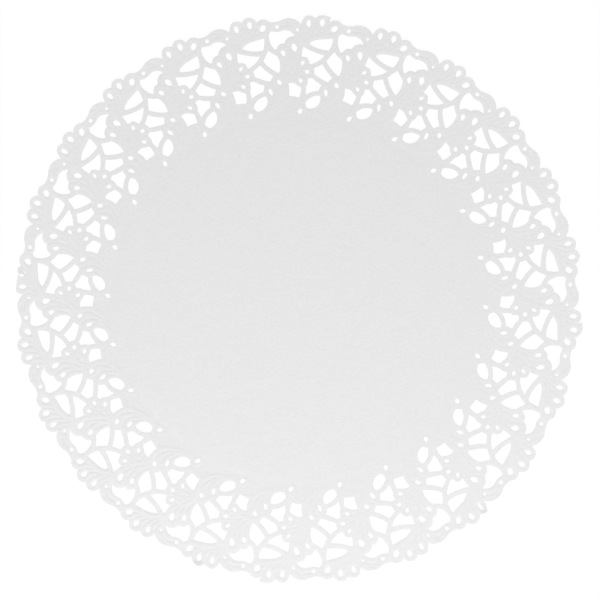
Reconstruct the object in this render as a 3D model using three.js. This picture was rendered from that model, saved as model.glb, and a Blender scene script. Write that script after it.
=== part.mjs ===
// A round paper doily, laid flat. A plain middle lies inside a lace border of 24 equal repeats, all of it
// cut from one sheet. Each repeat has three small lobes and one long scallop on the rim, eight large
// openings and a group of eyelets.
// Millimetres, +Z up. The sheet rests on z = 0, and the middle of its underside is the origin.

import * as THREE from 'three';

// Driving dimensions
const acrossLobes = 304.8; // over the tips of two opposite middle lobes
const sheetThickness = 1.0; // the sheet with its pressed relief, as one flat slab
const repeatCount = 24; // equal repeats round the border
const firstRepeatAngle = 7.5; // degrees from +X to the middle line of repeat 0, counted anticlockwise
const eyeletSides = 6;
const paperColour = 0xececea;
const paperRoughness = 0.85;

// The tables below are drawn for a doily of this size, and scale with acrossLobes.
const drawnAcrossLobes = 304.8;
const drawingScale = acrossLobes / drawnAcrossLobes;
const repeatAngle = (2 * Math.PI) / repeatCount;

// One repeat, drawn with its middle line upright and gone round clockwise. Each row is a corner:
// side is its distance to the right of the middle line, out its distance from the doily's centre,
// bow how far the edge from it to the next corner swells out of the outline (into it when negative),
// and steps the number of straight lengths in that edge.
const rim = [
  // side, out, bow, steps
  [-15.6, 145.9, 0.1, 1], // notch before the first lobe
  [-15.1, 148.3, 2.1, 3], // first lobe
  [-8.3, 150.1, 2.75, 4], // middle lobe
  [-0.4, 149.1, 1.5, 3], // third lobe
  [5.9, 148.9, -0.75, 2], // hollow start of the long scallop
  [12.5, 148.3, 2.1, 4], // long scallop, up to the next repeat's notch
];

const openings = {
  bell: [
    // side, out, bow, steps
    [4.9, 142.3, 0.1, 1],
    [6.4, 143.8, -0.6, 2],
    [12.7, 143.2, 1.1, 2],
    [18.4, 139.4, -1.25, 3],
    [12.5, 136.0, -1.1, 2],
    [8.0, 133.6, 0.15, 1],
    [6.9, 133.6, 0.85, 2],
  ],
  leaf: [
    // side, out, bow, steps
    [-9.9, 136.7, 1.0, 3],
    [2.2, 140.4, 0.45, 1],
    [0.9, 133.9, 0.8, 3],
    [-9.7, 136.1, 0, 1],
  ],
  notchedTriangle: [
    // side, out, bow, steps
    [-13.1, 134.1, -0.25, 2],
    [-1.6, 130.9, 0.6, 2],
    [-8.3, 125.7, -0.5, 2],
    [-10.6, 129.0, 0.1, 1],
    [-13.4, 129.1, 0, 1],
  ],
  kite: [
    // side, out, bow, steps
    [3.8, 133.3, -0.25, 2],
    [8.1, 130.0, 1.0, 3],
    [7.6, 121.1, 0.4, 2],
    [0.1, 128.2, 0, 1],
  ],
  trapezoid: [
    // side, out, bow, steps
    [-1.7, 126.3, -0.3, 2],
    [4.3, 119.8, 0, 1],
    [2.3, 117.3, 0, 1],
    [-5.3, 120.8, -0.15, 1],
    [-5.9, 123.7, -0.2, 1],
  ],
  arrow: [
    // side, out, bow, steps
    [-8.5, 118.1, 0.15, 1],
    [-6.3, 118.6, -0.3, 2],
    [-0.9, 115.6, 0, 1],
    [-2.0, 112.1, -0.45, 2],
    [-8.2, 109.7, 0, 1],
    [-8.7, 113.6, 0, 1],
    [-8.1, 115.1, 0, 1],
  ],
  square: [
    // side, out, bow, steps
    [11.8, 115.1, 0.75, 3],
    [18.4, 112.1, 0.4, 1],
    [16.4, 106.9, -0.2, 1],
    [11.3, 108.5, -0.5, 2],
  ],
  oval: [
    // side, out, bow, steps
    [-0.8, 109.8, 2.9, 4],
    [-6.9, 102.4, 0, 1],
    [-8.2, 104.9, 1.1, 3],
  ],
};

// The eyelets that are big enough to be cut through here: lean is in degrees, clockwise.
const eyelets = [
  // side, out, width, length, lean
  [-11.7, 146.7, 2.5, 4.1, -10], // in the first lobe
  [-4.5, 148.0, 2.7, 4.2, 0], // in the middle lobe
  [2.25, 145.4, 2.8, 4.2, 30], // in the third lobe
  [17.4, 133.2, 2.9, 4.5, -5], // under the bell
];

// Places where the cutter left the rim uneven. Rows of the rim from the first to the last one named
// give way to the rows given here.
const unevenPlaces = [
  {
    repeat: 5, // a hook over the end of the middle lobe
    first: 2,
    last: 3,
    rows: [
      // side, out, bow, steps
      [-8.3, 150.1, 1.9, 4],
      [-0.1, 151.1, 0, 1],
      [-0.6, 149.2, 1.5, 3],
    ],
  },
  {
    repeat: 11, // the first and the middle lobe in one straight edge
    first: 1,
    last: 3,
    rows: [
      // side, out, bow, steps
      [-15.4, 148.6, 0.3, 1],
      [-13.9, 150.0, 0, 1],
      [-6.0, 149.8, 0.7, 2],
      [-2.2, 150.4, 0, 1],
      [-0.6, 149.0, 1.5, 3],
    ],
  },
  {
    repeat: 13, // the middle lobe cut in flats
    first: 2,
    last: 3,
    rows: [
      // side, out, bow, steps
      [-8.5, 150.0, 0, 1],
      [-7.4, 152.0, 0, 1],
      [-3.8, 152.4, 0, 1],
      [-2.4, 151.1, 0, 1],
      [-0.6, 149.2, 1.5, 3],
    ],
  },
  {
    repeat: 17, // a spur at the end of the middle lobe
    first: 2,
    last: 3,
    rows: [
      // side, out, bow, steps
      [-8.3, 150.1, 1.4, 4],
      [0.3, 152.0, 0, 1],
      [-0.8, 149.5, 1.5, 3],
    ],
  },
  {
    repeat: 20, // a narrow first lobe
    first: 0,
    last: 2,
    rows: [
      // side, out, bow, steps
      [-15.3, 145.8, -0.2, 1],
      [-13.8, 148.5, 0.1, 1],
      [-13.3, 150.6, 0.7, 2],
      [-8.5, 150.6, 2.6, 4],
    ],
  },
  {
    repeat: 23, // a spur at the start of the middle lobe
    first: 2,
    last: 2,
    rows: [
      // side, out, bow, steps
      [-8.4, 149.8, 0, 1],
      [-9.0, 151.8, 1.9, 3],
    ],
  },
];

// The points of the arc from one corner to the next, without the next corner itself.
function arcPoints(from, to, bow, steps) {
  if (bow === 0 || steps === 1) {
    const points = [];
    for (let i = 0; i < steps; i += 1) {
      points.push(from.clone().lerp(to, i / steps));
    }
    return points;
  }
  const chord = to.clone().sub(from);
  const half = chord.length() / 2;
  const radius = (half * half + bow * bow) / (2 * bow);
  const outwards = new THREE.Vector2(-chord.y, chord.x).normalize();
  const centre = from.clone().lerp(to, 0.5).addScaledVector(outwards, bow - radius);
  const sweep = 4 * Math.atan(bow / half);
  const points = [];
  for (let i = 0; i < steps; i += 1) {
    points.push(from.clone().rotateAround(centre, (-sweep * i) / steps));
  }
  return points;
}

// A table of corners as points in the drawing of one repeat.
function outlinePoints(rows, end) {
  const points = [];
  rows.forEach(([side, out, bow, steps], i) => {
    const next = rows[i + 1] ?? end ?? rows[0];
    const from = new THREE.Vector2(side, out);
    const to = new THREE.Vector2(next[0], next[1]);
    points.push(...arcPoints(from, to, bow, steps));
  });
  return points;
}

// An eyelet as points in the drawing of one repeat.
function eyeletPoints([side, out, width, length, lean]) {
  const points = [];
  for (let i = 0; i < eyeletSides; i += 1) {
    const angle = (2 * Math.PI * i) / eyeletSides;
    const point = new THREE.Vector2((Math.sin(angle) * width) / 2, (Math.cos(angle) * length) / 2);
    point.rotateAround(new THREE.Vector2(), -THREE.MathUtils.degToRad(lean));
    points.push(point.add(new THREE.Vector2(side, out)));
  }
  return points;
}

// Points from the drawing of one repeat, at full size and turned to where repeat number k lies.
function placed(points, k) {
  const turn = THREE.MathUtils.degToRad(firstRepeatAngle - 90) + k * repeatAngle;
  const centre = new THREE.Vector2();
  return points.map((point) => point.clone().multiplyScalar(drawingScale).rotateAround(centre, turn));
}

// The rows of the rim at repeat number k.
function rimRows(k) {
  const place = unevenPlaces.find((entry) => entry.repeat === k);
  if (!place) {
    return rim;
  }
  return [...rim.slice(0, place.first), ...place.rows, ...rim.slice(place.last + 1)];
}

// The first corner of the repeat that lies clockwise of number k, seen in the drawing of number k.
function nextNotch(k) {
  const [side, out] = rimRows((k + repeatCount - 1) % repeatCount)[0];
  const notch = new THREE.Vector2(side, out).rotateAround(new THREE.Vector2(), -repeatAngle);
  return [notch.x, notch.y];
}

function doilyShape() {
  const edge = [];
  const holes = [];
  for (let k = repeatCount - 1; k >= 0; k -= 1) {
    edge.push(...placed(outlinePoints(rimRows(k), nextNotch(k)), k));
    Object.values(openings).forEach((rows) => holes.push(placed(outlinePoints(rows), k)));
    eyelets.forEach((row) => holes.push(placed(eyeletPoints(row), k)));
  }
  // An outline that runs anticlockwise lets the extrusion turn each hole the way it needs.
  const shape = new THREE.Shape(edge.reverse());
  shape.holes = holes.map((points) => new THREE.Path(points));
  return shape;
}

function makeDoily() {
  const geometry = new THREE.ExtrudeGeometry(doilyShape(), {
    depth: sheetThickness,
    bevelEnabled: false,
    steps: 1,
  });
  const paper = new THREE.MeshStandardMaterial({
    name: 'paper',
    color: paperColour,
    roughness: paperRoughness,
    metalness: 0,
  });
  const mesh = new THREE.Mesh(geometry, paper);
  mesh.name = 'doily';
  return mesh;
}

const part = new THREE.Group();
part.name = 'paper_doily';
part.add(makeDoily());

export default part;
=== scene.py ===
"""A round paper doily with a cut and pressed lace border, laid flat in a plain pale studio.

Objects are in metres, +Z up. The lace itself is drawn in millimetres, as one repeat that stands upright: side
is the distance to the right of its middle line, and out the distance from the doily's middle along that line.
"""

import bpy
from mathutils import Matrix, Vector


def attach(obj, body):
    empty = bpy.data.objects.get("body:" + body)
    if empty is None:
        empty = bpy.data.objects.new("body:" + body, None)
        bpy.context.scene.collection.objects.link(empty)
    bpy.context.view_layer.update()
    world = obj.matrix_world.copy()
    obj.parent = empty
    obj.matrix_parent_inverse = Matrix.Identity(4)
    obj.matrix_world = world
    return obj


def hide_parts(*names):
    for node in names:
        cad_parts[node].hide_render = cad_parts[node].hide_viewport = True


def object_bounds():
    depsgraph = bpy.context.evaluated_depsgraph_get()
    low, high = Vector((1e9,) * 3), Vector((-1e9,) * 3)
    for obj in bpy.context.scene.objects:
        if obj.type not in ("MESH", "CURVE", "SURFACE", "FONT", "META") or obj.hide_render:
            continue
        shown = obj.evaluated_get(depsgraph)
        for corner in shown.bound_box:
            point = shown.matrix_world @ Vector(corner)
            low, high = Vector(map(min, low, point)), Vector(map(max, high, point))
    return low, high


bl_info = {
    "name": "Paper Doily",
    "version": (1, 0, 0),
    "blender": (4, 5, 0),
    "location": "3D View > Sidebar > Doily",
    "description": "Adds a round paper doily with a cut and pressed lace border, and a plain studio round it",
    "category": "Add Mesh",
}

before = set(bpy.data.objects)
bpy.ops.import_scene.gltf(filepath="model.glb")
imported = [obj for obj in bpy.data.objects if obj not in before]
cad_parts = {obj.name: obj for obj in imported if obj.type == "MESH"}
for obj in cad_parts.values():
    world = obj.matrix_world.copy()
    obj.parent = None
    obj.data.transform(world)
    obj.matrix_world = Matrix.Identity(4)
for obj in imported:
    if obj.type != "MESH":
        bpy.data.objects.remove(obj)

import math

import bmesh
import bpy
from bpy.props import FloatProperty, FloatVectorProperty, PointerProperty
from mathutils import Matrix, Vector, noise
from mathutils.geometry import delaunay_2d_cdt
from mathutils.kdtree import KDTree

CAD_LOW, CAD_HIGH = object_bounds()
MM = 0.001

# The lace is drawn for a doily of this width, and scales with the real one.
DRAWN_WIDTH = 302.53
REPEATS = 24
REPEAT_ANGLE = 2 * math.pi / REPEATS
FIRST_REPEAT = math.radians(7.5)  # from +X to the middle line of repeat 0

# Each row is a corner, and the bow is how far the edge to the next corner swells out of the outline.
RIM = [
    # side, out, bow
    (-15.6, 145.8, 0.1),  # notch before the first lobe
    (-15.05, 148.15, 0.6),  # first lobe
    (-12.15, 150.9, 0.35),
    (-8.35, 149.8, 0.5),  # middle lobe
    (-4.95, 152.05, 0.9),
    (-0.55, 148.85, 1.5),  # third lobe
    (5.95, 148.45, -0.6),  # hollow start of the long scallop
    (12.55, 148.4, 2.0),  # long scallop, up to the next repeat's notch
]

OPENINGS = {
    "bell": [
        # side, out, bow
        (5.0, 141.95, 0.1),
        (6.5, 143.5, -0.65),
        (12.7, 142.9, 1.2),
        (18.5, 139.05, -1.35),
        (12.5, 136.0, -1.1),
        (8.0, 133.6, 0.1),
        (7.0, 133.6, 0.95),
    ],
    "leaf": [
        (-9.85, 136.6, 0.45),
        (-4.1, 139.2, 0),
        (2.15, 140.2, 0.35),
        (0.85, 133.9, 0.75),
        (-9.75, 135.9, 0),
    ],
    "notched_triangle": [
        (-13.1, 134.35, -0.5),
        (-1.15, 131.0, 0.75),
        (-8.5, 125.4, -0.5),
        (-10.6, 129.0, 0.1),
        (-13.25, 129.1, 0),
    ],
    "kite": [
        (3.65, 133.5, -0.25),
        (8.0, 129.95, 0.95),
        (7.6, 121.0, 0.6),
        (0.1, 128.2, 0),
    ],
    "trapezoid": [
        (-1.75, 126.4, -0.4),
        (4.35, 119.95, 0),
        (2.3, 117.2, 0.2),
        (-5.4, 120.7, -0.1),
        (-5.95, 123.8, -0.1),
    ],
    "arrow": [
        (-8.45, 117.95, 0.1),
        (-6.25, 118.5, -0.25),
        (-0.95, 115.6, 0),
        (-2.05, 112.2, -0.5),
        (-8.5, 109.35, 0),
        (-8.9, 113.6, 0),
        (-8.2, 115.1, 0),
    ],
    "square": [
        (11.75, 115.15, 0.3),
        (15.4, 114.3, -0.1),
        (18.2, 111.9, 0.3),
        (16.4, 106.85, -0.15),
        (11.2, 108.5, -0.4),
    ],
    "oval": [
        (-0.9, 109.85, 2.9),
        (-6.95, 102.5, 0),
        (-8.3, 104.95, 1.25),
    ],
}

# The lean is clockwise, in degrees, and the pinch is the share by which the lower end is narrowed.
EYELETS = [
    # side, out, width, length, lean, pinch
    (-11.65, 146.55, 2.5, 3.9, -10, 0.35),  # first lobe
    (-4.5, 147.75, 2.8, 4.0, -3, 0.35),  # middle lobe
    (2.2, 145.35, 2.85, 3.95, 42, 0),  # third lobe
    (9.9, 145.15, 2.15, 2.15, 0, 0),  # start of the long scallop
    (20.25, 142.15, 1.45, 1.65, -25, 0),  # end of the long scallop
    (17.45, 133.1, 2.85, 4.4, -12, 0.35),  # under the bell
    (11.2, 131.05, 2.3, 3.45, -20, 0.35),
    (-12.2, 125.8, 1.75, 2.6, 28, 0),  # beside the notched triangle
    (-9.25, 121.45, 2.5, 2.1, 0, 0),
    (18.35, 115.55, 2.0, 2.65, 145, 0.3),  # over the square
    (7.15, 116.1, 2.15, 3.0, -30, 0),  # root of the middle fan
    (1.95, 111.6, 1.95, 3.8, -16, 0.25),  # beside the oval
    (-10.35, 100.4, 2.3, 3.1, 198, 0.4),  # end of the scroll
]

# Lines pressed into the paper, as points on each. The first number is the depth, as a share of the relief
# there, and the second is half the width of a line's flat bottom.
PRESSED_LINES = {
    "outer fan": (0.8, 0.0, [
        [(-15.0, 145.2), (-14.5, 143.5), (-14.4, 142.0), (-14.7, 140.5), (-15.3, 138.5)],
        [(-11.6, 144.6), (-11.6, 142.7), (-11.9, 141.3), (-12.4, 140.0), (-13.0, 139.0), (-13.8, 137.5)],
        [
            (-8.2, 149.8), (-8.1, 147.7), (-8.3, 145.7), (-8.6, 144.0), (-9.0, 142.5), (-9.6, 141.3),
            (-10.5, 139.8), (-11.3, 138.6), (-12.3, 137.5), (-13.4, 136.7),
        ],
        [
            (-4.8, 145.8), (-5.1, 144.7), (-5.7, 143.8), (-6.5, 142.7), (-7.3, 141.7), (-8.4, 140.9),
            (-9.4, 140.0), (-10.5, 139.0),
        ],
        [
            (-0.6, 148.8), (-1.5, 146.7), (-2.3, 145.0), (-3.2, 143.8), (-4.2, 142.7), (-5.5, 141.7),
            (-6.9, 141.3),
        ],
        [(1.0, 143.9), (0.2, 143.6), (-0.7, 143.0), (-1.9, 142.5), (-3.2, 142.3)],
    ]),
    "scallop band": (1.2, 0.1, [
        [
            (10.9, 145.15), (12.0, 145.2), (13.0, 145.35), (14.0, 145.5), (15.0, 145.6), (16.0, 145.45),
            (17.0, 145.05), (18.0, 144.55), (19.0, 143.85), (19.7, 143.1),
        ],
    ]),
    "scallop edge": (1.05, 0.0, [
        [(14.6, 148.0), (15.3, 147.5), (16.0, 147.05), (17.0, 146.5), (18.0, 146.0), (19.3, 145.3)],
    ]),
    "middle fan": (0.8, 0.0, [
        [
            (12.9, 136.1), (13.9, 134.2), (14.4, 132.3), (14.6, 130.0), (14.5, 128.5), (14.2, 127.0),
            (13.7, 125.4), (13.0, 124.2), (12.3, 123.0),
        ],
        [
            (17.6, 131.2), (17.7, 129.0), (17.0, 127.3), (16.0, 125.6), (15.0, 124.0), (13.9, 122.5),
            (12.7, 121.0), (11.4, 119.8), (10.4, 119.2),
        ],
        [
            (11.5, 129.6), (11.6, 127.0), (11.2, 125.0), (10.6, 123.3), (10.0, 121.9), (9.2, 120.6),
            (8.5, 119.5),
        ],
        [(19.9, 127.8), (18.7, 126.3), (17.5, 125.2), (16.3, 124.1)],
        [(19.2, 122.9), (17.5, 122.3), (16.0, 121.9), (15.2, 121.6)],
        [(20.7, 120.4), (18.7, 120.3), (16.8, 120.1), (15.2, 119.7), (13.5, 119.0), (11.8, 118.3)],
        [(19.8, 122.0), (21.8, 122.5), (24.0, 123.0)],
        [(21.5, 117.2), (19.1, 118.3), (17.7, 118.3), (16.4, 117.5)],
        [(16.9, 116.4), (16.6, 116.7), (15.0, 117.1), (13.5, 117.3), (12.2, 116.9), (11.2, 116.2)],
    ]),
    "inner fan": (0.85, 0.0, [
        [
            (3.3, 115.6), (4.1, 114.4), (4.9, 112.7), (5.3, 110.8), (5.1, 109.2), (4.8, 108.6), (4.1, 107.1),
            (3.1, 105.5), (2.0, 104.4),
        ],
        [
            (8.3, 114.2), (9.0, 112.9), (9.1, 111.2), (8.8, 110.3), (8.1, 108.8), (7.0, 107.3), (5.6, 105.7),
            (4.1, 104.4), (2.7, 103.6), (1.4, 102.7),
        ],
        [(2.4, 109.8), (2.3, 109.2), (1.7, 107.7), (0.9, 106.0), (-0.2, 104.3), (-1.2, 103.3)],
    ]),
    "scroll": (0.6, 0.0, [
        [(11.0, 106.6), (13.5, 106.3), (15.2, 105.2), (16.4, 104.0), (16.9, 102.3), (16.8, 101.5)],
    ]),
}

# The unpressed patch of each repeat between the inner fan, the scroll and the ring.
PLAIN_PATCH = [
    # side, out
    (-7.4, 96.0), (-7.2, 98.6), (-6.6, 99.5), (-4.5, 99.4), (-2.0, 99.6), (0.0, 100.2), (2.0, 101.0),
    (3.5, 101.7), (5.5, 102.7), (7.5, 103.7), (9.0, 104.9), (10.1, 106.1), (11.5, 105.5), (13.0, 105.1),
    (14.3, 104.2), (14.9, 103.1), (14.6, 102.1), (13.6, 101.3), (12.9, 100.6), (12.6, 99.6), (12.8, 98.5),
    (13.6, 97.6), (14.0, 96.0),
]

# Where one repeat is joined to the next, from the notch of the rim down to the ring, over paper all the way.
SEAM = [
    # side, out
    (-15.6, 145.8), (-16.2, 142.0), (-15.7, 139.2), (-14.8, 136.4), (-14.9, 131.5), (-15.0, 127.0),
    (-13.9, 123.6), (-12.0, 120.5), (-10.6, 118.6), (-9.8, 116.5), (-9.9, 113.0), (-9.6, 109.0),
    (-10.1, 106.6), (-11.0, 104.6), (-11.5, 103.0), (-12.4, 101.2), (-12.5, 99.6), (-12.3, 98.2),
]
RING_RADIUS = 98.1  # of the ring where the repeats end and the plain middle begins

# Places where the cutter left the rim uneven: the rows of the rim from first to last give way to these.
UNEVEN_PLACES = {
    # repeat: first, last, rows
    5: (3, 5, [
        (-8.35, 149.8, 1.05), (-2.6, 151.7, 0.1), (0.0, 151.15, 0), (-1.0, 149.6, 0), (-0.4, 148.9, 1.4),
    ]),
    11: (1, 5, [
        (-15.3, 148.2, 0.45), (-13.7, 150.15, 0), (-5.5, 149.85, 0), (-4.9, 149.55, 0.1), (-3.3, 150.4, 0.1),
        (-2.0, 150.35, -0.1), (-0.3, 148.8, 1.5),
    ]),
    13: (3, 5, [
        (-8.4, 149.8, 0), (-7.4, 151.8, 0), (-3.8, 152.2, 0), (-2.4, 150.9, 0), (-0.6, 149.0, 1.5),
    ]),
    17: (3, 5, [(-8.35, 149.8, 1.4), (0.3, 151.8, 0), (-0.8, 149.3, 1.5)]),
    20: (1, 3, [
        (-14.4, 144.9, 0), (-14.7, 146.3, 0.2), (-13.8, 149.0, 0.1), (-12.9, 150.6, 0.3), (-11.8, 150.7, 0),
        (-9.0, 149.6, 0.4),
    ]),
    23: (3, 4, [(-8.4, 149.6, 0), (-9.0, 151.6, 1.9)]),
}

# Eyelets that the cutter left uneven: the eyelet of this number gives way to these rows.
UNEVEN_EYELETS = {
    # repeat: number, rows
    11: (1, [(-5.45, 147.95, 1.6, 2.7, 0, 0), (-4.05, 146.45, 0.6, 1.3, 28, 0)]),
    20: (0, [(-11.5, 146.2, 1.7, 4.7, 4, 0)]),
}

# Places on the rim that are bent up: the middle, how far round it they reach, and their height.
LIFTED_PLACES = {
    # repeat: side, out, reach, height
    11: [(-4.9, 148.1, 1.7, 0.85), (-3.4, 149.0, 2.4, 0.15)],
    16: [(-5.4, 152.8, 4.3, 1.0)],
    20: [(-11.8, 151.4, 3.6, 0.9), (-12.6, 147.4, 1.9, 0.4)],
}

# Places that the cutter has pressed flat again: the middle, and how far they reach.
FLAT_PLACES = {
    # repeat: side, out, reach
    11: (-7.5, 144.5, 7.5),
}

# The net of triangles that the paper is made of.
LINE_SPACING = 1.1  # between its points along outlines and pressed lines
EYELET_SPACING = 0.8  # between its points round an eyelet
LEAST_SIDES = 10  # round an eyelet
FLANK = 0.42  # from a pressed line to the rows of points beside it
RAIL = 0.6  # from a cut edge to the row of points beside it
NET_SPACING = 1.05  # between its free points
PATCH_SPACING = 2.2  # between those of an unpressed patch
MIDDLE_SPACING = 5.0  # between those of the plain middle
CORNER_LENGTH = 0.4  # of each side of an opening that a rounded corner takes up
FINE_SPACING = 0.15  # between the points that distances are measured to
NET_ROUNDS = 3  # of netting the same points again
NET_SMOOTHING = 4  # steps of smoothing in each round
NET_ACCURACY = 1e-4
LEAST_SPACING = 0.4  # between a fixed point of the net and the outlines or another such point
FREE_SPACING = 0.66  # of the net's spacing, from a free point to the fixed ones
MERGE_DISTANCE = 0.02  # between points that become one where repeats meet

# Rings of points that widen the net, from the ring inwards to the even net of the plain middle.
MIDDLE_RINGS = [
    # radius, number of points
    (97.2, 480), (96.2, 400), (94.9, 300), (93.2, 220), (90.8, 150),
]

# Levels of the pressed relief, as shares of its height.
CUT_LEVEL = 0.42  # at the edges of the openings
RIM_CUT_LEVEL = -0.15  # at the edges of the openings that lie near the rim
RIM_LEVEL = 0.6  # at the outer edge of the paper
RING_LEVEL = 0.15  # on the ring round the plain middle
PATCH_LEVEL = 0.35  # in the unpressed patches
MIDDLE_LEVEL = 0.9  # in the plain middle
BAR_LEVEL = 0.7  # on bars with no pressed line near them

# How far the way up from a low level to the full one is.
CUT_SLOPE = 1.1  # from a cut edge
LINE_SLOPE = 0.65  # from a pressed line, and from the edge of an unpressed patch
RING_SLOPE = 1.2  # from the ring outwards
MIDDLE_SLOPE = 3.5  # from the ring inwards
PETAL_REACH = (1.3, 3.2)  # from a pressed line, to where the way down to the bars begins and ends
LINE_FADE = 2.5  # over which a pressed line fades out towards its last point

# How the relief gets deeper towards one side and towards the rim, and how the sheet curls and waves.
DEEP_POWER = 3  # how fast the relief gets fainter away from its deepest side
RIM_START = 133.0  # where the relief begins to get as deep as it is at the rim
RIM_WAY = 5.0  # from there to where it is that deep
RIM_RELIEF = 0.3  # least share of the way from the faintest relief to the deepest, at the rim
CURL_START = 135.0  # where the border starts to curl up
CURL_HEIGHT = 0.5  # at the tips of the lobes
WAVE_SCALE = 0.018  # of the waves' noise, to the millimetre
WAVE_HEIGHT = 0.15

SHARP_ANGLE = math.radians(50)  # between faces that meet in a sharp edge

# The finish of the paper. A scale is that of a noise or a pattern, to the metre, and lengths are in metres.
NOISE_TURN = math.radians(25)  # of the noise, so that its own grid doesn't line up with the fibres
FIBRE_STRETCH = 2.0  # of the fibres' length, along X, over their breadth
FIBRE_SCALE = 550.0
FIBRE_RANGE = (0.3, 0.7)  # of the fibres' noise, from the smoothest to the roughest paper
SMOOTHER = 0.08  # than the roughness that is set, at the low end of that range
ROUGHER = 0.04  # than the roughness that is set, at the high end
CLOUD_SCALE = 90.0
GRAIN_HEIGHT = 0.0002
SPECK_SCALE = 17.0
SPECK_SIZE = 0.0006  # from the middle of a speck to its edge
SPECK_DARKNESS = 0.2
PAPER_SPECULAR = 0.2

# The studio, in metres and watts.
FLOOR_SIZE = 3.0
FLOOR_GLOW = 0.86
CAMERA_PLACE = (0.0998, 0.0866, 1.2069)
CAMERA_AIM = (0.0024, 0.0008, 0.0)
CAMERA_ROLL = math.radians(-0.21)
CAMERA_REACH = 10.0
SENSOR_WIDTH = 36.0  # millimetres
WORLD_STRENGTH = 0.735
KEY_PLACE = (0.0, -0.82, 0.75)
KEY_SIZE = 0.5
KEY_POWER = 5.15


class DoilySheetSettings(bpy.types.PropertyGroup):
    """Sizes of the paper sheet."""

    width: FloatProperty(
        name="Width", description="Width over the tips of the lobes", default=CAD_HIGH.x - CAD_LOW.x,
        unit="LENGTH",
    )
    thickness: FloatProperty(
        name="Thickness", description="Thickness of the paper", default=0.00015, precision=5, unit="LENGTH"
    )
    relief: FloatProperty(
        name="Relief", description="Height of the pressed relief where it is deepest", default=0.00025,
        precision=5, unit="LENGTH",
    )
    faint_relief: FloatProperty(
        name="Faint relief", description="Share of the relief where it is faintest", default=0.44,
        subtype="FACTOR",
    )
    deepest_side: FloatProperty(
        name="Deepest side", description="Side of the doily with the deepest relief, anticlockwise from +X",
        default=math.radians(212), unit="ROTATION",
    )


class DoilyPaperSettings(bpy.types.PropertyGroup):
    """Colours and finish of the paper."""

    colour: FloatVectorProperty(
        name="Paper colour", description="Colour of the paper", default=(0.807, 0.807, 0.807), subtype="COLOR"
    )
    roughness: FloatProperty(
        name="Roughness", description="Roughness of the paper", default=0.9, subtype="FACTOR"
    )
    grain: FloatProperty(
        name="Grain", description="Share by which the fibres change the tone", default=0.1, subtype="FACTOR"
    )
    cloudiness: FloatProperty(
        name="Cloudiness", description="Share by which soft clouds change the tone", default=0.015,
        subtype="FACTOR",
    )
    # Painted light: the lace border is made paler towards the rim, standing in for floor light that shines up
    # through the thin paper.
    painted_border_light: FloatProperty(
        name="Pale border", description="Share by which the rim is paler than the middle", default=0.024,
        subtype="FACTOR",
    )


class DoilyStageSettings(bpy.types.PropertyGroup):
    """Colours of the studio, and its camera."""

    floor_colour: FloatVectorProperty(
        name="Floor colour", description="Colour of the floor", default=(0.15, 0.15, 0.15), subtype="COLOR"
    )
    lens: FloatProperty(
        name="Focal length", description="Focal length of the camera, in millimetres", default=136.9
    )


def turned(point, angle):
    """A point of the drawing, turned anticlockwise about the middle of the doily."""
    return Matrix.Rotation(angle, 2) @ Vector(point)


def drawn_edge(drawing, start, end, bow):
    """Draws one edge of an outline as a chain of short lengths, and returns the vertex at its end."""
    chord = end - start.co
    half = chord.length / 2
    if bow == 0:
        steps = max(1, round(2 * half / LINE_SPACING))
        line = bmesh.ops.spin(
            drawing, geom=[start], cent=start.co, axis=(0, 0, 1), angle=0, dvec=chord / steps, steps=steps
        )
        return line["geom_last"][0]
    radius = (half * half + bow * bow) / (2 * bow)
    outwards = Vector((-chord.y, chord.x, 0)).normalized()
    centre = start.co + chord / 2 + outwards * (bow - radius)
    sweep = 4 * math.atan(bow / half)
    steps = max(1, round(abs(radius * sweep) / LINE_SPACING))
    arc = bmesh.ops.spin(drawing, geom=[start], cent=centre, axis=(0, 0, 1), angle=-sweep, steps=steps)
    return arc["geom_last"][0]


def drawn_chain(drawing, rows, end):
    """Draws the edges of a table of corners, up to the point end. Returns the corners and the last vertex."""
    vert = drawing.verts.new((rows[0][0], rows[0][1], 0))
    corners = []
    for (_, _, bow), following in zip(rows, [*rows[1:], end]):
        corners.append(vert)
        vert = drawn_edge(drawing, vert, Vector((following[0], following[1], 0)), bow)
    return corners, vert


def loop_points(drawing):
    """The points of the one closed outline in a drawing, anticlockwise. The drawing is freed."""
    face = bmesh.ops.contextual_create(drawing, geom=drawing.edges[:])["faces"][0]
    face.normal_update()
    if face.normal.z < 0:
        face.normal_flip()
    points = [vert.co.xy for vert in face.verts]
    drawing.free()
    return points


def outline(rows, corner_length):
    """A closed outline from a table of corners, each rounded over the corner length if there is one."""
    drawing = bmesh.new()
    corners, last = drawn_chain(drawing, rows, rows[0])
    bmesh.ops.weld_verts(drawing, targetmap={last: corners[0]})
    if corner_length:
        bmesh.ops.bevel(
            drawing, geom=corners, offset=corner_length, segments=2, profile=0.5, affect="VERTICES",
            material=-1,
        )
    return loop_points(drawing)


def eyelet(side, out, width, length, lean, pinch):
    """The outline of an eyelet."""
    drawing = bmesh.new()
    segments = max(LEAST_SIDES, round(0.5 * math.pi * (width + length) / EYELET_SPACING))
    verts = bmesh.ops.create_circle(drawing, segments=segments, radius=0.5)["verts"]
    for vert in verts:
        vert.co.x *= 1 - pinch * max(0, -2 * vert.co.y)
    bmesh.ops.scale(drawing, verts=verts, vec=(width, length, 1))
    leaning = Matrix.Rotation(-math.radians(lean), 3, "Z")
    bmesh.ops.rotate(drawing, verts=verts, cent=(0, 0, 0), matrix=leaning)
    bmesh.ops.translate(drawing, verts=verts, vec=(side, out, 0))
    return loop_points(drawing)


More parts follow.
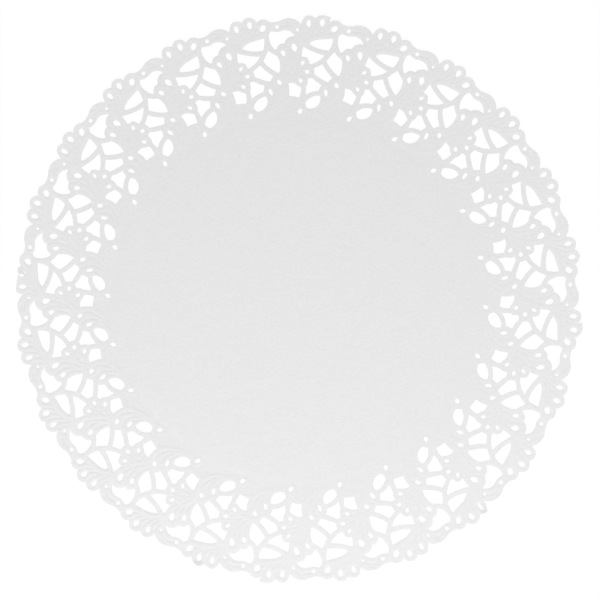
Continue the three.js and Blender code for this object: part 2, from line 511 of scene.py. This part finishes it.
def curve(points, spacing):
    """A smooth curve through points, as points about one spacing apart."""
    line = [Vector(point) for point in points]
    line = [2 * line[0] - line[1], *line, 2 * line[-1] - line[-2]]
    found = []
    for before, start, end, after in zip(line, line[1:], line[2:], line[3:]):
        steps = max(1, round((end - start).length / spacing))
        for i in range(steps):
            t = i / steps
            found.append(
                start
                + t * (end - before) / 2
                + t * t * (2 * before - 5 * start + 4 * end - after) / 2
                + t * t * t * (3 * start - before - 3 * end + after) / 2
            )
    return [*found, line[-2]]


def between(pairs):
    """Points close together along straight lengths, each given as a pair of ends."""
    found = []
    for start, end in pairs:
        steps = max(1, math.ceil((end - start).length / FINE_SPACING))
        found += [start.lerp(end, i / steps) for i in range(steps + 1)]
    return found


def around(loop):
    """Points close together all round a closed outline."""
    return between(zip(loop, [*loop[1:], loop[0]]))


def beside(line, distance, closed=False):
    """Points beside a line, each at one distance to the right of one of its own."""
    found = []
    for i, point in enumerate(line):
        before = line[i - 1] if closed or i else point
        after = line[(i + 1) % len(line)] if closed or i + 1 < len(line) else point
        along = (after - before).normalized()
        found.append(point + distance * Vector((along.y, -along.x)))
    return found


def tree_of(points):
    """A search tree over flat points."""
    tree = KDTree(len(points))
    for i, point in enumerate(points):
        tree.insert((point[0], point[1], 0), i)
    tree.balance()
    return tree


def away(point, tree):
    """The distance from a point to the nearest one in a search tree."""
    return tree.find((point[0], point[1], 0))[2]


def inside(point, loop):
    """True for a point inside a closed outline."""
    x, y = point[0], point[1]
    odd = False
    for (ax, ay), (bx, by) in zip(loop, [*loop[1:], loop[0]]):
        if (ay > y) != (by > y) and x < ax + (bx - ax) * (y - ay) / (by - ay):
            odd = not odd
    return odd


def rim_rows(number):
    """The corners of the rim of one repeat."""
    first, last, rows = UNEVEN_PLACES.get(number, (0, -1, []))
    return [*RIM[:first], *rows, *RIM[last + 1 :]]


def rim_edge(number):
    """The edge of the paper along the rim of one repeat, as points from its left to its right."""
    drawing = bmesh.new()
    drawn_chain(drawing, rim_rows(number), turned(SEAM[0], -REPEAT_ANGLE))
    points = [vert.co.xy for vert in drawing.verts]
    drawing.free()
    return points


def sector_rows(number):
    """The corners of the outline of one repeat: its rim, a seam, its part of the ring and the other seam."""
    right_seam = [(*turned(point, -REPEAT_ANGLE), 0) for point in SEAM]
    ring_end = Vector(SEAM[-1]).normalized() * RING_RADIUS
    ring_start = turned(ring_end, -REPEAT_ANGLE)
    ring_bow = RING_RADIUS * (1 - math.cos(REPEAT_ANGLE / 2))
    left_seam = [(side, out, 0) for side, out in reversed(SEAM[1:])]
    return [*rim_rows(number), *right_seam, (*ring_start, -ring_bow), (*ring_end, 0), *left_seam]


def with_neighbours(points):
    """Points of one repeat, with those of the repeats beside it."""
    return [turned(point, turn * REPEAT_ANGLE) for turn in (-1, 0, 1) for point in points]


def plain_patches():
    """The unpressed patches of one repeat and of the repeats beside it, as closed outlines."""
    return [[turned(point, turn * REPEAT_ANGLE) for point in PLAIN_PATCH] for turn in (-1, 0, 1)]


def repeat_turn(number):
    """How far the drawing is turned, anticlockwise, to bring it to where one repeat lies."""
    return FIRST_REPEAT - math.pi / 2 + number * REPEAT_ANGLE


def pressed_lines(spacing):
    """Each pressed line of one repeat as its depth, the half width of its bottom and its points."""
    return [
        (depth, half_width, curve(line, spacing))
        for depth, half_width, lines in PRESSED_LINES.values()
        for line in lines
    ]


def spread(candidates, kept, spacing):
    """The candidates that lie at least one spacing from each other and from the points kept before."""
    tree = tree_of(kept)
    found = []
    for point in candidates:
        if away(point, tree) >= spacing and all((point - other).length >= spacing for other in found):
            found.append(point)
    return found


def grid_points(loop, spacing):
    """Points of an even triangular grid over the room that an outline takes up."""
    low = Vector((min(point.x for point in loop), min(point.y for point in loop)))
    high = Vector((max(point.x for point in loop), max(point.y for point in loop)))
    row_height = spacing * math.sqrt(3) / 2
    points = []
    for row in range(round((high.y - low.y) / row_height) + 1):
        shift = spacing / 2 if row % 2 else 0
        for column in range(round((high.x - low.x) / spacing) + 1):
            points.append(low + Vector((shift + column * spacing, row * row_height)))
    return points


def net(loops, fixed, creases, free):
    """A flat mesh of triangles inside the first outline and outside the others, with edges along the creases.

    No bmesh operator fills an outline round so many holes with even triangles, so Blender's own triangulation
    does it. In each round the free points move towards the middle of their neighbours.
    """
    outlines = [point for loop in loops for point in loop]
    faces = []
    for loop in loops:
        start = sum(len(face) for face in faces)
        faces.append(list(range(start, start + len(loop))))
    edges = [(len(outlines) + start, len(outlines) + end) for start, end in creases]
    held = len(outlines) + len(fixed)
    flat = None
    for _ in range(NET_ROUNDS):
        if flat:
            flat.free()
        points = [Vector(point) for point in (*outlines, *fixed, *free)]
        coords, _, triangles, origins, _, parents = delaunay_2d_cdt(points, edges, faces, 0, NET_ACCURACY)
        flat = bmesh.new()
        verts = [flat.verts.new((*point, 0)) for point in coords]
        for triangle, parent in zip(triangles, parents):
            if parent == [0]:
                flat.faces.new([verts[i] for i in triangle])
        loose = [vert for vert in verts if not vert.link_faces]
        movable = [
            vert for vert, origin in zip(verts, origins) if origin and min(origin) >= held and vert.link_faces
        ]
        bmesh.ops.delete(flat, geom=loose, context="VERTS")
        for _ in range(NET_SMOOTHING):
            bmesh.ops.smooth_vert(flat, verts=movable, factor=0.5, use_axis_x=True, use_axis_y=True)
        free = [vert.co.xy for vert in movable]
    return flat


def fixed_points(number, outlines):
    """The points that hold the net of one repeat to its relief, and the pairs of them that a crease joins."""
    loop, *openings = outlines
    edge_tree = tree_of([point for one in outlines for point in one])
    lines = [points for _, _, points in pressed_lines(LINE_SPACING)]
    lines.append([Vector(point) for point in PLAIN_PATCH])
    fixed = []
    creases = []
    last_kept = False
    for line in lines:
        placed = with_neighbours(line)
        for i, point in enumerate(placed):
            clear = inside(point, loop) and away(point, edge_tree) >= LEAST_SPACING
            kept = clear and all((point - other).length >= LEAST_SPACING for other in fixed)
            if kept and i % len(line) and last_kept:
                creases.append((len(fixed) - 1, len(fixed)))
            if kept:
                fixed.append(point)
            last_kept = kept
    rows = [point for line in lines for side in (-FLANK, FLANK) for point in beside(line, side)]
    rows += [point for opening in openings for point in beside(opening, RAIL, closed=True)]
    rows += beside(rim_edge(number), RAIL)
    rows = [point for point in with_neighbours(rows) if inside(point, loop)]
    fixed += spread(rows, [*(point for one in outlines for point in one), *fixed], LEAST_SPACING)
    return fixed, creases


def rise(distance, slope):
    """The rounded way up from 0 on a line to 1 at one slope's distance from it."""
    return math.sin(math.pi / 2 * min(1, max(0, distance) / slope))


def lifted(low, high, way):
    """The level at some share of the way from a low one to a high one."""
    return low + (high - low) * way


def pressed_heights(flat, number, openings):
    """Gives each vertex of one repeat its share of the relief as height."""
    rim = rim_edge(number)
    rim_tree = tree_of(with_neighbours(between(zip(rim, rim[1:]))))
    cut_tree = tree_of(with_neighbours([point for loop in openings for point in around(loop)]))
    patches = plain_patches()
    patch_edge = tree_of([point for loop in patches for point in around(loop)])
    on_lines = []
    depths = []
    for depth, half_width, points in pressed_lines(FINE_SPACING):
        on_lines += points
        to_end = [FINE_SPACING * (len(points) - 1 - i) for i in range(len(points))]
        depths += [(depth * min(1, length / LINE_FADE), half_width) for length in to_end]
    line_tree = tree_of(with_neighbours(on_lines))
    flat_side, flat_out, flat_reach = FLAT_PLACES.get(number, (0, 0, 0))
    for vert in flat.verts:
        point = vert.co.xy
        _, nearest, to_line = line_tree.find((*point, 0))
        depth, half_width = depths[nearest % len(depths)]
        to_bars = (to_line - PETAL_REACH[0]) / (PETAL_REACH[1] - PETAL_REACH[0])
        height = lifted(1, BAR_LEVEL, rise(to_bars, 1))
        height *= 1 - depth * (1 - rise(to_line - half_width, LINE_SLOPE))
        height = lifted(PATCH_LEVEL, height, rise(away(point, patch_edge), LINE_SLOPE))
        if any(inside(point, loop) for loop in patches):
            height = PATCH_LEVEL
        height = lifted(RING_LEVEL, height, rise(point.length - RING_RADIUS, RING_SLOPE))
        if flat_reach:
            from_flat = (point - Vector((flat_side, flat_out))).length
            height = lifted(BAR_LEVEL, height, rise(from_flat - flat_reach / 2, flat_reach / 2))
        height = lifted(RIM_LEVEL, height, rise(away(point, rim_tree), CUT_SLOPE))
        cut_level = lifted(CUT_LEVEL, RIM_CUT_LEVEL, rise(point.length - RIM_START, RIM_WAY))
        vert.co.z = lifted(cut_level, height, rise(away(point, cut_tree), CUT_SLOPE))


def lace_repeat(number, openings):
    """One repeat of the border as a mesh, with the share of the relief as height."""
    replaced, rows = UNEVEN_EYELETS.get(number, (0, EYELETS[:1]))
    openings = [*openings, *(eyelet(*row) for row in (*EYELETS[:replaced], *rows, *EYELETS[replaced + 1 :]))]
    outlines = [outline(sector_rows(number), 0), *openings]
    fixed, creases = fixed_points(number, outlines)
    patches = plain_patches()
    candidates = [
        (point, spacing)
        for spacing in (NET_SPACING, PATCH_SPACING)
        for point in grid_points(outlines[0], spacing)
        if (spacing == PATCH_SPACING) == any(inside(point, patch) for patch in patches)
    ]
    held = tree_of([*(point for one in outlines for point in one), *fixed])
    free = [point for point, spacing in candidates if away(point, held) > FREE_SPACING * spacing]
    flat = net(outlines, fixed, creases, free)
    pressed_heights(flat, number, openings)
    mesh = bpy.data.meshes.new("lace_repeat")
    flat.to_mesh(mesh)
    flat.free()
    return mesh


def add_turned(sheet, mesh, angle):
    """Adds a copy of a mesh to the sheet, turned about the middle of the doily."""
    before = len(sheet.verts)
    sheet.from_mesh(mesh)
    sheet.verts.ensure_lookup_table()
    bmesh.ops.rotate(
        sheet, verts=sheet.verts[before:], cent=(0, 0, 0), matrix=Matrix.Rotation(angle, 3, "Z")
    )


def lace_border():
    """The whole border, in millimetres, with the share of the relief as height."""
    openings = [outline(rows, CORNER_LENGTH) for rows in OPENINGS.values()]
    regular = lace_repeat(None, openings)
    sheet = bmesh.new()
    for number in range(REPEATS):
        uneven = number in UNEVEN_PLACES or number in UNEVEN_EYELETS
        mesh = lace_repeat(number, openings) if uneven else regular
        add_turned(sheet, mesh, repeat_turn(number))
        if uneven:
            bpy.data.meshes.remove(mesh)
    bpy.data.meshes.remove(regular)
    bmesh.ops.remove_doubles(sheet, verts=sheet.verts[:], dist=MERGE_DISTANCE)
    return sheet


def add_middle(sheet):
    """Fills the ring with the plain middle, which lies a little higher than the ring."""
    rim = [
        vert
        for vert in sheet.verts
        if vert.is_boundary and vert.co.xy.length < RING_RADIUS + LINE_SPACING / 2
    ]
    loop = sorted((vert.co.xy for vert in rim), key=lambda point: math.atan2(point.y, point.x))
    tree = tree_of(loop)
    rings = [
        Matrix.Rotation(turn, 2) @ Vector((radius, 0))
        for radius, count in MIDDLE_RINGS
        for turn in (2 * math.pi * (i + 0.5 * (count % 2)) / count for i in range(count))
    ]
    inner = MIDDLE_RINGS[-1][0] - MIDDLE_SPACING / 2
    free = [point for point in grid_points(loop, MIDDLE_SPACING) if point.length < inner]
    flat = net([loop], rings, [], free)
    for vert in flat.verts:
        vert.co.z = lifted(RING_LEVEL, MIDDLE_LEVEL, rise(away(vert.co, tree), MIDDLE_SLOPE))
    mesh = bpy.data.meshes.new("plain_middle")
    flat.to_mesh(mesh)
    flat.free()
    add_turned(sheet, mesh, 0)
    bpy.data.meshes.remove(mesh)
    bmesh.ops.remove_doubles(sheet, verts=sheet.verts[:], dist=MERGE_DISTANCE)


def lift_places(sheet):
    """Bends up the places on the rim that don't lie flat."""
    for number, places in LIFTED_PLACES.items():
        for side, out, reach, height in places:
            middle = turned((side, out), repeat_turn(number))
            for vert in sheet.verts:
                share = (vert.co.xy - middle).length / reach
                if share < 1:
                    vert.co.z += height * (1 - share * share) ** 2


def shape_sheet(sheet, settings):
    """Brings the sheet to its real size, and gives the relief its height and the paper its thickness."""
    scale = settings.width / (DRAWN_WIDTH * MM)
    deepest = turned((1, 0), settings.deepest_side)
    for vert in sheet.verts:
        radius = vert.co.xy.length
        towards = (0.5 + 0.5 * vert.co.xy.dot(deepest) / max(radius, RING_RADIUS)) ** DEEP_POWER
        at_rim = RIM_RELIEF * rise(radius - RIM_START, RIM_WAY)
        vert.co.z *= settings.relief / MM * lifted(settings.faint_relief, 1, max(towards, at_rim))
        place = Vector((vert.co.x, vert.co.y, 0)) * WAVE_SCALE
        vert.co.z += WAVE_HEIGHT * (0.5 + 0.5 * noise.noise(place)) + settings.thickness / MM
        curled = max(0, radius - CURL_START) / (DRAWN_WIDTH / 2 - CURL_START)
        vert.co.z += CURL_HEIGHT * curled * curled
    lift_places(sheet)
    bmesh.ops.scale(sheet, verts=sheet.verts[:], vec=(scale * MM,) * 2 + (MM,))
    bmesh.ops.recalc_face_normals(sheet, faces=sheet.faces[:])
    bmesh.ops.solidify(sheet, geom=sheet.faces[:], thickness=settings.thickness)


def node(tree, kind, **values):
    """Adds a shader node, and sets its properties and the values of its inputs."""
    made = tree.nodes.new(kind)
    for name, value in values.items():
        if hasattr(made, name):
            setattr(made, name, value)
        else:
            made.inputs[name.replace("_", " ").title()].default_value = value
    return made


def paper_material(settings):
    """Matt white paper: fibres in its surface, a cloudy tone, a few dark specks, and a border painted paler
    to stand in for floor light shining up through the thin paper.
    """
    material = bpy.data.materials.new("embossed_white_paper")
    material.use_nodes = True
    tree = material.node_tree
    shader = tree.nodes["Principled BSDF"]
    link = tree.links.new
    place = node(tree, "ShaderNodeTexCoord").outputs["Object"]

    lay = node(tree, "ShaderNodeMapping", rotation=(0, 0, -NOISE_TURN), scale=(1, FIBRE_STRETCH, 1))
    link(place, lay.inputs["Vector"])
    fibres = node(tree, "ShaderNodeTexNoise", scale=FIBRE_SCALE, detail=5.0, roughness=0.75)
    link(lay.outputs["Vector"], fibres.inputs["Vector"])
    clouds = node(tree, "ShaderNodeTexNoise", scale=CLOUD_SCALE, detail=3.0, roughness=0.5)
    link(lay.outputs["Vector"], clouds.inputs["Vector"])

    specks = node(tree, "ShaderNodeTexVoronoi", scale=SPECK_SCALE)
    link(place, specks.inputs["Vector"])
    speck_edge = SPECK_SIZE * SPECK_SCALE
    dark = node(
        tree, "ShaderNodeMapRange", from_min=speck_edge / 2, from_max=speck_edge, to_min=1.0, to_max=0.0
    )
    link(specks.outputs["Distance"], dark.inputs["Value"])

    reach = node(tree, "ShaderNodeVectorMath", operation="LENGTH")
    link(place, reach.inputs[0])
    # Painted light: a mask that rises from the ring to the rim and pales the lace border, standing in for
    # floor light shining up through the thin paper.
    border = node(tree, "ShaderNodeMapRange", from_min=RING_RADIUS * MM, from_max=DRAWN_WIDTH / 2 * MM)
    link(reach.outputs["Value"], border.inputs["Value"])

    tone = node(tree, "ShaderNodeMath", operation="ADD")
    tone.inputs[0].default_value = 1 - settings.grain - settings.cloudiness
    tone.inputs[1].default_value = 0
    parts = [
        (fibres.outputs["Fac"], 2 * settings.grain),
        (clouds.outputs["Fac"], 2 * settings.cloudiness),
        (border.outputs["Result"], settings.painted_border_light),
        (dark.outputs["Result"], -SPECK_DARKNESS),
    ]
    for output, share in parts:
        step = node(tree, "ShaderNodeMath", operation="MULTIPLY_ADD")
        link(output, step.inputs[0])
        step.inputs[1].default_value = share
        link(tone.outputs["Value"], step.inputs[2])
        tone = step
    colour = node(tree, "ShaderNodeHueSaturation")
    colour.inputs["Color"].default_value = (*settings.colour, 1)
    link(tone.outputs["Value"], colour.inputs["Value"])
    link(colour.outputs["Color"], shader.inputs["Base Color"])

    rough = node(
        tree, "ShaderNodeMapRange", from_min=FIBRE_RANGE[0], from_max=FIBRE_RANGE[1],
        to_min=settings.roughness - SMOOTHER, to_max=settings.roughness + ROUGHER,
    )
    link(fibres.outputs["Fac"], rough.inputs["Value"])
    link(rough.outputs["Result"], shader.inputs["Roughness"])
    grain = node(tree, "ShaderNodeBump", strength=1.0, distance=GRAIN_HEIGHT)
    link(fibres.outputs["Fac"], grain.inputs["Height"])
    link(grain.outputs["Normal"], shader.inputs["Normal"])
    shader.inputs["Specular IOR Level"].default_value = PAPER_SPECULAR
    return material


class DOILY_OT_add_sheet(bpy.types.Operator):
    """Add the paper sheet of the doily, with its cut and pressed lace border"""

    bl_idname = "doily.add_sheet"
    bl_label = "Add Doily Sheet"

    def execute(self, context):
        settings = context.scene.doily_sheet
        sheet = lace_border()
        add_middle(sheet)
        shape_sheet(sheet, settings)
        mesh = bpy.data.meshes.new("doily_sheet")
        sheet.to_mesh(mesh)
        sheet.free()
        mesh.shade_smooth()
        mesh.set_sharp_from_angle(angle=SHARP_ANGLE)
        mesh.materials.append(paper_material(context.scene.doily_paper))
        piece = bpy.data.objects.new("doily_sheet", mesh)
        context.scene.collection.objects.link(piece)
        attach(piece, "root")
        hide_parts("doily")
        return {"FINISHED"}


class DOILY_OT_add_stage(bpy.types.Operator):
    """Add the pale floor, the soft studio light and the camera"""

    bl_idname = "doily.add_stage"
    bl_label = "Add Doily Stage"

    def execute(self, context):
        settings = context.scene.doily_stage
        floor_mesh = bpy.data.meshes.new("studio_floor")
        plane = bmesh.new()
        bmesh.ops.create_grid(plane, x_segments=1, y_segments=1, size=FLOOR_SIZE / 2)
        plane.to_mesh(floor_mesh)
        plane.free()
        floor = bpy.data.objects.new("studio_floor", floor_mesh)
        context.scene.collection.objects.link(floor)
        material = bpy.data.materials.new("pale_floor")
        material.use_nodes = True
        shader = material.node_tree.nodes["Principled BSDF"]
        shader.inputs["Base Color"].default_value = (*settings.floor_colour, 1)
        shader.inputs["Roughness"].default_value = 1.0
        shader.inputs["Specular IOR Level"].default_value = 0.0
        shader.inputs["Emission Color"].default_value = (1, 1, 1, 1)
        shader.inputs["Emission Strength"].default_value = FLOOR_GLOW
        floor_mesh.materials.append(material)

        camera = bpy.data.objects.new("camera", bpy.data.cameras.new("camera"))
        camera.data.lens = settings.lens
        camera.data.sensor_width = SENSOR_WIDTH
        camera.data.clip_end = CAMERA_REACH
        camera.location = CAMERA_PLACE
        backwards = (Vector(CAMERA_PLACE) - Vector(CAMERA_AIM)).normalized()
        right = Vector((0, 1, 0)).cross(backwards).normalized()
        axes = Matrix((right, backwards.cross(right), backwards)).transposed()
        camera.rotation_euler = (axes @ Matrix.Rotation(CAMERA_ROLL, 3, "Z")).to_euler()
        context.scene.collection.objects.link(camera)
        context.scene.camera = camera

        world = bpy.data.worlds.new("studio")
        world.use_nodes = True
        background = world.node_tree.nodes["Background"]
        background.inputs["Color"].default_value = (1, 1, 1, 1)
        background.inputs["Strength"].default_value = WORLD_STRENGTH
        context.scene.world = world

        key = bpy.data.lights.new("key", "AREA")
        key.energy = KEY_POWER
        key.size = KEY_SIZE
        lamp = bpy.data.objects.new("key", key)
        lamp.location = KEY_PLACE
        lamp.rotation_euler = (-Vector(KEY_PLACE)).to_track_quat("-Z", "Y").to_euler()
        context.scene.collection.objects.link(lamp)
        context.scene.view_settings.view_transform = "Standard"
        return {"FINISHED"}


class DOILY_PT_panel(bpy.types.Panel):
    """Lists the settings and the operators of the doily"""

    bl_label = "Paper Doily"
    bl_idname = "DOILY_PT_panel"
    bl_space_type = "VIEW_3D"
    bl_region_type = "UI"
    bl_category = "Doily"

    def draw(self, context):
        for name in SETTINGS:
            settings = getattr(context.scene, name)
            box = self.layout.box()
            for field in settings.bl_rna.properties.keys():
                if field not in ("rna_type", "name"):
                    box.prop(settings, field)
        self.layout.operator(DOILY_OT_add_sheet.bl_idname)
        self.layout.operator(DOILY_OT_add_stage.bl_idname)


SETTINGS = {
    "doily_sheet": DoilySheetSettings,
    "doily_paper": DoilyPaperSettings,
    "doily_stage": DoilyStageSettings,
}
CLASSES = (*SETTINGS.values(), DOILY_OT_add_sheet, DOILY_OT_add_stage, DOILY_PT_panel)


def register():
    for each in CLASSES:
        bpy.utils.register_class(each)
    for name, kind in SETTINGS.items():
        setattr(bpy.types.Scene, name, PointerProperty(type=kind))


def unregister():
    for name in SETTINGS:
        delattr(bpy.types.Scene, name)
    for each in reversed(CLASSES):
        bpy.utils.unregister_class(each)


def main():
    register()
    bpy.ops.doily.add_sheet()
    bpy.ops.doily.add_stage()


if __name__ == "__main__":
    main()
